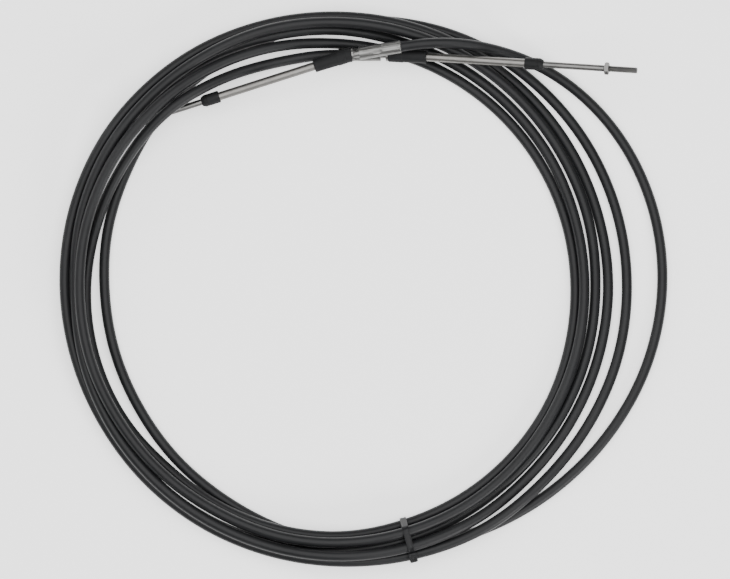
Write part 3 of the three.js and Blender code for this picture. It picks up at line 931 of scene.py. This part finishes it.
@dataclass
class Hub:
    """A steel hub: flange, clamp groove, barrel, and two bands crimped by a press.

    The ball's seat is a cone from the mouth radius to the throat radius. Only points less than
    the barrel skin under the barrel's radius are pressed in.
    """

    sizes: HubSizes
    sides: int = 96
    core_crimp: CrimpBand = CrimpBand(-25.5, -17.6, 6, 0.34, 0.35)
    jacket_crimp: CrimpBand = CrimpBand(-38.7, -21.5, 14, 0.17, 0.1)
    bore: float = 8.06
    cap_radius: float = 0.4
    seat_mouth_radius: float = 3.6
    seat_throat_radius: float = 2.4
    seat_depth: float = 1.4
    throat_depth: float = 1.6
    barrel_skin: float = 0.6

    def _crimp(self, x: Array, angle: Array, band: CrimpBand) -> Array:
        """How deep a crimped band lies below the round barrel.

        Jaws flatten the barrel to a polygon: r - (r - depth) / cos(b), where b is the angle from
        the middle of the nearest flat, and nothing where the flat would stand above the barrel.

        Args:
            x: Places along the axis, rows.
            angle: Angles round it, columns.
            band: The band.

        Returns:
            Depths for every row and column, in millimetres.
        """
        radius = self.sizes.diameter / 2
        b = from_flat(angle, band.jaws, band.lean)
        flat = np.maximum(0, radius - (radius - band.depth) / np.cos(b))
        rise = smoothstep(x, band.back, band.back + band.back_edge)
        fall = 1 - smoothstep(x, band.front - band.front_edge, band.front)
        return (rise * fall)[:, None] * flat

    def build(self, end: EndAim, ball: Array, material: bpy.types.Material) -> bpy.types.Object:
        """Makes one hub.

        Args:
            end: Which end it is for.
            ball: The swivel's centre.
            material: Its finish.

        Returns:
            The hub.
        """
        s = self.sizes
        r, face = s.diameter / 2, -s.ball_ahead
        mouth, groove = face - s.length, s.groove_diameter / 2
        bore, bore_end = self.bore / 2, mouth + s.bore_depth
        front = face - s.flange
        back = front - s.groove_width
        outline = [
            (bore_end, self.cap_radius), (bore_end, bore), (mouth, bore),
            (mouth, r - s.chamfer), (mouth + s.chamfer, r), (back, r),
            (back, groove), (front, groove), (front, r), (face, r),
            (face, self.seat_mouth_radius), (face - self.seat_depth, self.seat_throat_radius),
            (face - self.throat_depth, self.cap_radius),
        ]
        profile = filled(eased(outline, 0.22, False, 3), 0.55)
        angle = round_angles(self.sides)
        outside = (profile[:, 1] > r - self.barrel_skin)[:, None]
        x = profile[:, 0]
        depth = self._crimp(x, angle, self.core_crimp) + self._crimp(x, angle, self.jacket_crimp)
        depth = np.where(outside, depth, 0)
        local = revolved(profile, self.sides, profile[:, 1:2] - depth)
        name = f"crimped_hub_{end.letter}"
        piece = make_piece(name, local @ end.hub_turn().T + ball, Ends.CAPPED, 28.0)
        # Crimp depth as a share of the core crimp's, which the hub's material uses to paint shade
        # into the pressed hollows.
        pressed = piece.data.attributes.new("crimp", "FLOAT", "POINT")
        values = np.zeros(len(piece.data.vertices), np.float32)
        values[: depth.size] = (depth / self.core_crimp.depth).ravel()
        pressed.data.foreach_set("value", values)
        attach(piece, "coil")
        finish(piece, material, "crimped_steel", f"hub_{end.letter}")
        return piece


@dataclass
class SwivelBoot:
    """A rubber boot: a collar at the hub, a step, and a front that tapers to a lip.

    The ring groove is counted from the boot's back. The throat's back end and the hollow's
    widest point (along, radius) are counted from the ball. The gap keeps the boot off the hub.
    """

    sizes: HubSizes
    length: float = 29.2
    diameter: float = 11.0
    lip_diameter: float = 10.0
    collar_length: float = 11.4
    collar_bore: float = 8.4
    collar_edge: float = 0.4
    collar_step: float = 0.3
    ring_groove: tuple[float, float] = (4.2, 5.0)
    ring_groove_depth: float = 0.15
    bead: float = 1.3
    throat: float = 3.2
    throat_length: float = 8.2
    hollow: tuple[float, float] = (4.4, 4.15)
    sides: int = 72
    gap: float = 0.06

    def build(self, end: EndAim, ball: Array, material: bpy.types.Material) -> bpy.types.Object:
        """Makes one boot, bent from the hub's axis to the sleeve's.

        Slices at x < 0 have their centres on the hub's axis and the others on the sleeve's, and
        each slice's tilt goes smoothly from the hub's to the sleeve's.

        Args:
            end: Which end it is for.
            ball: The swivel's centre.
            material: Its finish.

        Returns:
            The boot.
        """
        start = self.gap - self.sizes.ball_ahead
        front = start + self.length
        r, lip = self.diameter / 2, self.lip_diameter / 2
        step = start + self.collar_length
        groove_back, groove_front = (start + place for place in self.ring_groove)
        outline = [
            (start, self.collar_bore / 2), (start, r - 0.35), (start + self.collar_edge, r),
            (groove_back, r), ((groove_back + groove_front) / 2, r - self.ring_groove_depth),
            (groove_front, r), (step - self.collar_step, r), (step, r - self.collar_step),
            (front - self.bead - 0.3, lip - 0.08), (front - self.bead, lip),
            (front - 0.5, lip), (front, lip - 0.45), (front, self.throat + 0.25),
            (front - 1.0, self.throat), (self.throat_length, self.throat), self.hollow,
        ]
        profile = filled(eased(outline, 0.3, True, 3), 0.7)
        local = revolved(profile, self.sides)
        hub_in_sleeve = end.sleeve_turn().T @ end.hub_turn()
        angle = math.acos(min(1.0, (np.trace(hub_in_sleeve) - 1) / 2))
        skew = hub_in_sleeve - hub_in_sleeve.T
        axis = np.array([skew[2, 1], skew[0, 2], skew[1, 0]]) / (2 * math.sin(angle))
        x = local[..., 0]
        bend_end = start + self.length / 3
        share = smoothstep(x, start, bend_end)
        slices = local * np.array([0.0, 1.0, 1.0])
        centres = x[..., None] * np.where(x[..., None] < 0, hub_in_sleeve[:, 0], [1.0, 0.0, 0.0])
        bent = turn_about(axis, angle * (1 - share), slices) + centres
        name = f"swivel_boot_{end.letter}_rubber"
        piece = make_piece(name, bent @ end.sleeve_turn().T + ball, Ends.JOINED, 50.0)
        if end is END_B:
            near = ball + end.hub_turn()[:, 0] * start
            far = ball + end.sleeve_turn()[:, 0] * bend_end
            near * MM
            far * MM
            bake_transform(piece)
        else:
            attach(piece, "coil")
        finish(piece, material, "boot_rubber", f"swivel_boot_{end.letter}")
        return piece


@dataclass
class SupportSleeve:
    """A stainless tube with a ball end behind and an eased open end in front."""

    diameter: float = 6.35
    bore: float = 5.3
    reach: float = 110.5
    ball_diameter: float = 7.8
    ball_steps: int = 14
    edge: float = 0.3
    sides: int = 64

    def build(self, end: EndAim, ball: Array, material: bpy.types.Material) -> bpy.types.Object:
        """Makes one sleeve.

        The ball's profile is (-R cos t, R sin t) from the bore's angle to the tube's.

        Args:
            end: Which end it is for.
            ball: The swivel's centre.
            material: Its finish.

        Returns:
            The sleeve.
        """
        r, b, big = self.diameter / 2, self.bore / 2, self.ball_diameter / 2
        t = np.linspace(math.asin(b / big), math.pi - math.asin(r / big), self.ball_steps)
        sphere = list(zip(-big * np.cos(t), big * np.sin(t)))
        rim = [(self.reach - self.edge, r), (self.reach, r - self.edge), (self.reach, b)]
        profile = filled(np.array([*sphere, *rim]), 2.5)
        local = revolved(profile, self.sides)
        name = f"sleeve_{end.letter}_tube"
        piece = make_piece(name, local @ end.sleeve_turn().T + ball, Ends.JOINED, 30.0)
        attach(piece, end.body)
        finish(piece, material, "stainless_tube", f"support_sleeve_{end.letter}")
        return piece


@dataclass
class WiperSeal:
    """A rubber wiper seal on a sleeve's end: body, ring groove and tapered nose.

    The nose stands past the sleeve, and the ring groove's value is half its width.
    """

    diameter: float = 9.2
    length: float = 14.0
    nose: float = 4.7
    taper_length: float = 3.6
    taper_depth: float = 1.6
    ring_groove: float = 0.25
    lip_radius: float = 2.42
    fit: float = 0.03
    sides: int = 64

    def build(
        self, end: EndAim, ball: Array, sleeve: SupportSleeve, material: bpy.types.Material
    ) -> bpy.types.Object:
        """Makes one seal.

        Args:
            end: Which end it is for.
            ball: The swivel's centre.
            sleeve: The sleeve that carries it.
            material: Its finish.

        Returns:
            The seal.
        """
        r, inner, lips = self.diameter / 2, sleeve.diameter / 2 + self.fit, self.lip_radius
        front = sleeve.reach + self.nose
        back, taper = front - self.length, front - self.taper_length
        seat, lip_face, ring = sleeve.reach + 0.1, front - 0.5, self.ring_groove
        outline = [
            (back, inner), (back, r - 0.45), (back + 0.4, r - 0.05),
            (taper - 3 * ring, r - 0.05), (taper - 2 * ring, r - 0.3), (taper - ring, r - 0.02),
            (taper + 1.0, r - 0.1), (front - 0.25, r - 1.25), (front, r - self.taper_depth),
            (lip_face, lips + 0.25), (lip_face, lips), (seat, lips), (seat, inner),
        ]
        profile = filled(eased(outline, 0.25, True, 3), 0.6)
        local = revolved(profile, self.sides)
        name = f"wiper_seal_{end.letter}_rubber"
        piece = make_piece(name, local @ end.sleeve_turn().T + ball, Ends.JOINED, 40.0)
        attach(piece, end.body)
        finish(piece, material, "seal_rubber", f"wiper_seal_{end.letter}")
        return piece


@dataclass
class Rod:
    """A stainless rod whose front end carries a cut thread.

    At mid travel it shows outside the seal's front, and half a stroke and the held length are
    inside, so that it stays in the sleeve at full travel.
    """

    seal_front: float
    diameter: float = 4.76
    shown: float = 70.4
    half_stroke: float = 38.1
    held: float = 14.5
    edge: float = 0.5
    thread_diameter: float = 4.9
    thread_length: float = 25.5
    pitch: float = 0.794
    thread_depth: float = 0.42
    thread_runout: float = 1.2
    tip_chamfer: float = 0.75
    rows_per_turn: int = 12
    sides: int = 48

    def tip(self) -> float:
        """Distance of the rod's tip from the ball's centre."""
        return self.seal_front + self.shown

    def _thread(self, x: Array, angle: Array) -> Array:
        """Radius of the threaded stretch at every row and column.

        The radius falls from the crest by the depth times 2.6 |f - 0.5| - 0.15, held between
        0 and 1 so that crest and root are flat. Here f is the part of x / pitch - angle / 2 pi
        after the point. The cut runs out smoothly at its back, and the tip is chamfered at
        45 degrees.
        """
        crest = self.thread_diameter / 2
        f = (x[:, None] / self.pitch - angle / (2 * math.pi)) % 1.0
        wave = np.clip(2.6 * np.abs(f - 0.5) - 0.15, 0, 1)
        begin = self.tip() - self.thread_length
        share = smoothstep(x, begin, begin + self.thread_runout)[:, None]
        plain = self.diameter / 2 + (crest - self.diameter / 2) * share
        chamfer = crest - self.tip_chamfer + (self.tip() - x)[:, None]
        return np.minimum(plain - self.thread_depth * wave * share, chamfer)

    def build(self, end: EndAim, ball: Array, material: bpy.types.Material) -> bpy.types.Object:
        """Makes one rod.

        Args:
            end: Which end it is for.
            ball: The swivel's centre.
            material: Its finish.

        Returns:
            The rod.
        """
        r, tip = self.diameter / 2, self.tip()
        back = self.seal_front - self.half_stroke - self.held
        begin = tip - self.thread_length
        outline = [(back, r - self.edge), (back + self.edge, r), (begin - 0.1, r)]
        plain = filled(np.array(outline), 2.0)
        rows = round(self.thread_length / self.pitch * self.rows_per_turn)
        x = np.linspace(begin, tip, rows)
        smooth = np.broadcast_to(plain[:, 1:2], (len(plain), self.sides))
        radius = np.vstack([smooth, self._thread(x, round_angles(self.sides))])
        profile = np.column_stack([np.append(plain[:, 0], x), radius[:, 0]])
        local = revolved(profile, self.sides, radius)
        name = f"rod_{end.letter}_threaded"
        piece = make_piece(name, local @ end.sleeve_turn().T + ball, Ends.CAPPED, 50.0)
        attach(piece, end.rod_body)
        finish(piece, material, "stainless_tube", f"rod_{end.letter}")
        return piece


@dataclass
class LockNut:
    """A hexagonal nut with chamfered corners, on the rod's thread.

    Its front is from_tip behind the rod's tip. The corner's reach is the depth from each face
    in which the chamfer is drawn.
    """

    across_flats: float = 8.0
    thickness: float = 3.3
    from_tip: float = 21.2
    bore: float = 4.96
    bore_edge: float = 0.35
    face_inset: float = 0.12
    corner_reach: float = 0.5
    corner_steps: int = 6
    sides: int = 96
    lean: float = math.radians(30)

    def corner(self) -> float:
        """Distance of a corner from the axis."""
        return self.across_flats / 2 / math.cos(math.pi / 6)

    def build(
        self, end: EndAim, ball: Array, rod: Rod, material: bpy.types.Material
    ) -> bpy.types.Object:
        """Makes one nut.

        The radius is that of a hexagon, flats / cos(b), where b is the angle from the middle of
        the nearest flat, and no more than a cone that leaves both faces at 30 degrees.

        Args:
            end: Which end it is for.
            ball: The swivel's centre.
            rod: The rod that carries it.
            material: Its finish.

        Returns:
            The nut.
        """
        front = rod.tip() - self.from_tip
        back, flats = front - self.thickness, self.across_flats / 2
        hexagon = flats / np.cos(from_flat(round_angles(self.sides), 6, self.lean))
        reach = np.linspace(0, self.corner_reach, self.corner_steps)
        x = np.concatenate([back + reach, front - reach[::-1]])
        inset = np.minimum(x - back, front - x)
        cone = flats - self.face_inset + inset[:, None] / math.tan(math.radians(30))
        outside = np.minimum(hexagon, cone)
        hole = self.bore / 2
        rim = np.full((1, self.sides), hole + self.bore_edge)
        wall = np.full((1, self.sides), hole)
        radius = np.vstack([rim, outside, rim, wall, wall])
        walls = [front, front - self.bore_edge, back + self.bore_edge]
        along = np.concatenate([[back], x, walls])
        local = revolved(np.column_stack([along, radius[:, 0]]), self.sides, radius)
        name = f"lock_nut_{end.letter}"
        piece = make_piece(name, local @ end.sleeve_turn().T + ball, Ends.JOINED, 20.0)
        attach(piece, end.rod_body)
        finish(piece, material, "stainless_tube", f"nut_{end.letter}")
        return piece


@dataclass
class CableTie:
    """A nylon tie: a strap pulled round the turns, and its ratchet head.

    The head's sizes are outwards, across the strap and up, and its shift is outwards from the
    middle of the outermost turn.
    """

    azimuth: float = 285.0
    width: float = 4.8
    thickness: float = 1.1
    clearance: float = 0.3
    head: tuple[float, float, float] = (7.0, 6.0, 5.0)
    head_shift: float = 2.1
    head_squareness: float = 0.28
    head_sides: int = 64
    rail: float = 0.16
    rail_width: float = 0.7
    rail_foot: float = 0.95
    steps: int = 260
    directions: int = 1440
    finish: NylonFinish = NylonFinish()

    def _turns(self, line: Array, route: CoilRoute) -> Array:
        """Where the conduit passes the tie: rows of (distance from the coil's centre, height)."""
        a = math.radians(self.azimuth)
        flat = line[:, :2] - np.array(route.shift)
        across = flat @ np.array([-math.sin(a), math.cos(a)])
        outward = flat @ np.array([math.cos(a), math.sin(a)])
        k = np.flatnonzero((across[:-1] * across[1:] < 0) & (outward[1:] > 0))
        t = (across[k] / (across[k] - across[k + 1]))[:, None]
        pair = np.column_stack([outward, line[:, 2]])
        return pair[k] + (pair[k + 1] - pair[k]) * t

    def _loop(self, turns: Array, offset: float) -> Array:
        """A loop round the turns at an offset from their centres, at even steps of its length.

        For each direction the loop's point is the farthest turn plus the offset that way.
        """
        angle = np.linspace(0, 2 * math.pi, self.directions + 1)
        way = np.stack([np.cos(angle), np.sin(angle)], -1)
        points = turns[(way @ turns.T).argmax(1)] + offset * way
        length = np.concatenate([[0], np.cumsum(np.linalg.norm(np.diff(points, axis=0), axis=1))])
        even = np.linspace(0, length[-1], self.steps, endpoint=False)
        return np.stack([np.interp(even, length, points[:, k]) for k in range(2)], -1)

    def _to_row(self, local: Array, route: CoilRoute) -> Array:
        """Points (outward, up, across) at the tie's azimuth, in the row frame."""
        a = math.radians(self.azimuth)
        outward = np.array([math.cos(a), math.sin(a), 0])
        across = np.array([-math.sin(a), math.cos(a), 0])
        up = np.array([0.0, 0.0, 1.0])
        centre = np.array([*route.shift, 0.0])
        return centre + local[..., :1] * outward + local[..., 1:2] * up + local[..., 2:] * across

    def build(self, line: Array, route: CoilRoute) -> list[bpy.types.Object]:
        """Makes the strap and the head.

        Args:
            line: The conduit's ring centres.
            route: The coil's route.

        Returns:
            The strap and the head.
        """
        turns = self._turns(line, route)
        material = self.finish.material()
        strap = self._strap(turns, route)
        head = self._head(turns, route)
        for piece in (strap, head):
            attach(piece, "coil")
            finish(piece, material, "tie_nylon", "cable_tie")
        return [strap, head]

    def _strap(self, turns: Array, route: CoilRoute) -> bpy.types.Object:
        """The strap: a section with two raised rails, carried round the loop."""
        middle = self._loop(turns, route.floor + self.clearance + self.thickness / 2)
        tangent = np.roll(middle, -1, 0) - np.roll(middle, 1, 0)
        tangent /= np.linalg.norm(tangent, axis=1)[:, None]
        outward = np.stack([tangent[:, 1], -tangent[:, 0]], -1)
        w, t = self.width / 2, self.thickness / 2
        rail, foot = w - self.rail_width, w - self.rail_foot
        outline = [
            (-w, -t), (w, -t), (w, t), (rail, t), (foot, t - self.rail),
            (-foot, t - self.rail), (-rail, t), (-w, t),
        ]
        section = eased(outline, 0.2, True, 3)
        spread = middle[:, None] + outward[:, None] * section[None, :, 1:]
        across = np.broadcast_to(section[None, :, :1], (*spread.shape[:2], 1))
        local = np.concatenate([spread, across], -1)
        return make_piece("tie_strap", self._to_row(local, route), Ends.JOINED, 40.0)

    def _head(self, turns: Array, route: CoilRoute) -> bpy.types.Object:
        """The head: rounded rectangles carried up, over the rim and down into its window.

        A ring's points are (|cos a|^p, |sin a|^p) with their signs, times its half sides.
        """
        radial, across, height = self.head
        outer = turns[turns[:, 0].argmax()]
        bottom = outer[1] + route.floor + self.clearance + self.thickness / 2
        rings = [
            (0.0, 0.45), (0.0, 0.15), (0.35, 0.0), (height - 0.5, 0.0), (height - 0.12, 0.15),
            (height, 0.45), (height, 1.35), (height - 0.2, 1.5), (height - 1.9, 1.55),
        ]
        angle = round_angles(self.head_sides)
        circle = np.stack([np.cos(angle), np.sin(angle)], -1)
        shape = np.sign(circle) * np.abs(circle) ** self.head_squareness
        grid = []
        for up, inset in rings:
            half = np.array([radial / 2 - inset, across / 2 - inset])
            flat = shape * half + np.array([outer[0] + self.head_shift, 0.0])
            level = np.full(self.head_sides, bottom + up)
            grid.append(np.column_stack([flat[:, 0], level, flat[:, 1]]))
        return make_piece("tie_head", self._to_row(np.array(grid), route), Ends.CAPPED, 35.0)


@dataclass
class Studio:
    """Pale floor, soft lights and the camera that looks straight down.

    The frame's width holds at the focus height. The floor's half side and drop are in metres.
    """

    frame_width: float = 543.85
    frame_centre: tuple[float, float] = (0.92, -0.36)
    focus_height: float = 17.0
    distance: float = 5000.0
    sensor: float = 36.0
    floor_half: float = 4.0
    floor_squares: int = 40
    floor_drop: float = 0.00002
    room_light: float = 0.3

    def camera(self) -> None:
        """Makes the camera, whose frame spans the frame width at the focus height."""
        data = bpy.data.cameras.new("camera")
        data.sensor_width = self.sensor
        data.lens = self.sensor * self.distance / self.frame_width
        data.clip_end = 4 * self.distance * MM
        made = bpy.data.objects.new("camera", data)
        made.location = [c * MM for c in (*self.frame_centre, self.distance + self.focus_height)]
        bpy.context.scene.collection.objects.link(made)
        bpy.context.scene.camera = made

    def floor(self) -> None:
        """Makes the floor, a level card of even squares just under the cable."""
        edge = np.linspace(-self.floor_half, self.floor_half, self.floor_squares + 1)
        u, v = np.meshgrid(edge, edge, indexing="ij")
        points = np.stack([u, v, np.full_like(u, -self.floor_drop)], -1).reshape(-1, 3)
        square = np.arange(self.floor_squares)
        i, j = np.meshgrid(square, square, indexing="ij")
        row = self.floor_squares + 1
        first = (i * row + j).ravel()
        faces = np.stack([first, first + row, first + row + 1, first + 1], -1)
        mesh = bpy.data.meshes.new("floor")
        mesh.from_pydata(points.tolist(), [], faces.tolist())
        mesh.materials.append(FloorFinish().material())
        made = bpy.data.objects.new("floor", mesh)
        bpy.context.scene.collection.objects.link(made)

    def lights(self) -> None:
        """Hangs soft boxes round the coil, turned to its middle, and fills in with pale light."""
        boxes = [
            ("top_box", (0.0, 0.2, 2.4), 3.4, 118.0),
            ("left_box", (-2.2, 1.0, 1.3), 1.2, 22.0),
            ("right_box", (1.5, -1.9, 1.2), 1.0, 52.0),
        ]
        for name, spot, size, power in boxes:
            data = bpy.data.lights.new(name, "AREA")
            data.size, data.energy = size, power
            made = bpy.data.objects.new(name, data)
            made.location = spot
            x, y, z = spot
            made.rotation_euler = (0.0, math.atan2(math.hypot(x, y), z), math.atan2(y, x))
            bpy.context.scene.collection.objects.link(made)
        world = bpy.data.worlds.new("pale_room")
        world.use_nodes = True
        background = world.node_tree.nodes["Background"]
        background.inputs["Color"].default_value = (1.0, 1.0, 1.0, 1.0)
        background.inputs["Strength"].default_value = self.room_light
        bpy.context.scene.world = world


def main() -> None:
    """Builds the studio, the conduit, both ends and the tie."""
    logging.basicConfig(level=logging.INFO, format="%(message)s")
    studio = Studio()
    studio.camera()
    route, tie, hub_sizes = CoilRoute(), CableTie(), HubSizes()
    sleeve, seal, nut = SupportSleeve(), WiperSeal(), LockNut()
    rod = Rod(sleeve.reach + seal.nose)
    hub_reach = hub_sizes.length + hub_sizes.ball_ahead
    balls = {
        end.letter: route.mouth(end) + end.hub_turn()[:, 0] * hub_reach for end in (END_A, END_B)
    }
    arm = RodPath(
        origin=balls[END_A.letter] - np.array([*route.shift, 0.0]),
        yaw=math.radians(END_A.sleeve_yaw),
        slope=math.tan(math.radians(END_A.sleeve_pitch)),
        near=rod.seal_front - seal.length,
        far=rod.tip() + rod.half_stroke + nut.thickness,
        widest=max(seal.diameter / 2, nut.corner()),
    )
    heights = route.settle(tie, arm)
    line = route.centreline(heights, hub_sizes)
    Jacket(route).build(line)
    tube_steel, rod_steel = TUBE_STEEL.material(), ROD_STEEL.material()
    hub_steel = CrimpedSteelFinish().material()
    boot_rubber, seal_rubber = BOOT_RUBBER.material(), SEAL_RUBBER.material()
    for end in (END_A, END_B):
        ball = balls[end.letter]
        Hub(hub_sizes).build(end, ball, hub_steel)
        SwivelBoot(hub_sizes).build(end, ball, boot_rubber)
        sleeve.build(end, ball, tube_steel)
        seal.build(end, ball, sleeve, seal_rubber)
        rod.build(end, ball, rod_steel)
        nut.build(end, ball, rod, rod_steel)
    tie.build(line, route)
    studio.floor()
    studio.lights()


if __name__ == "__main__":
    main()
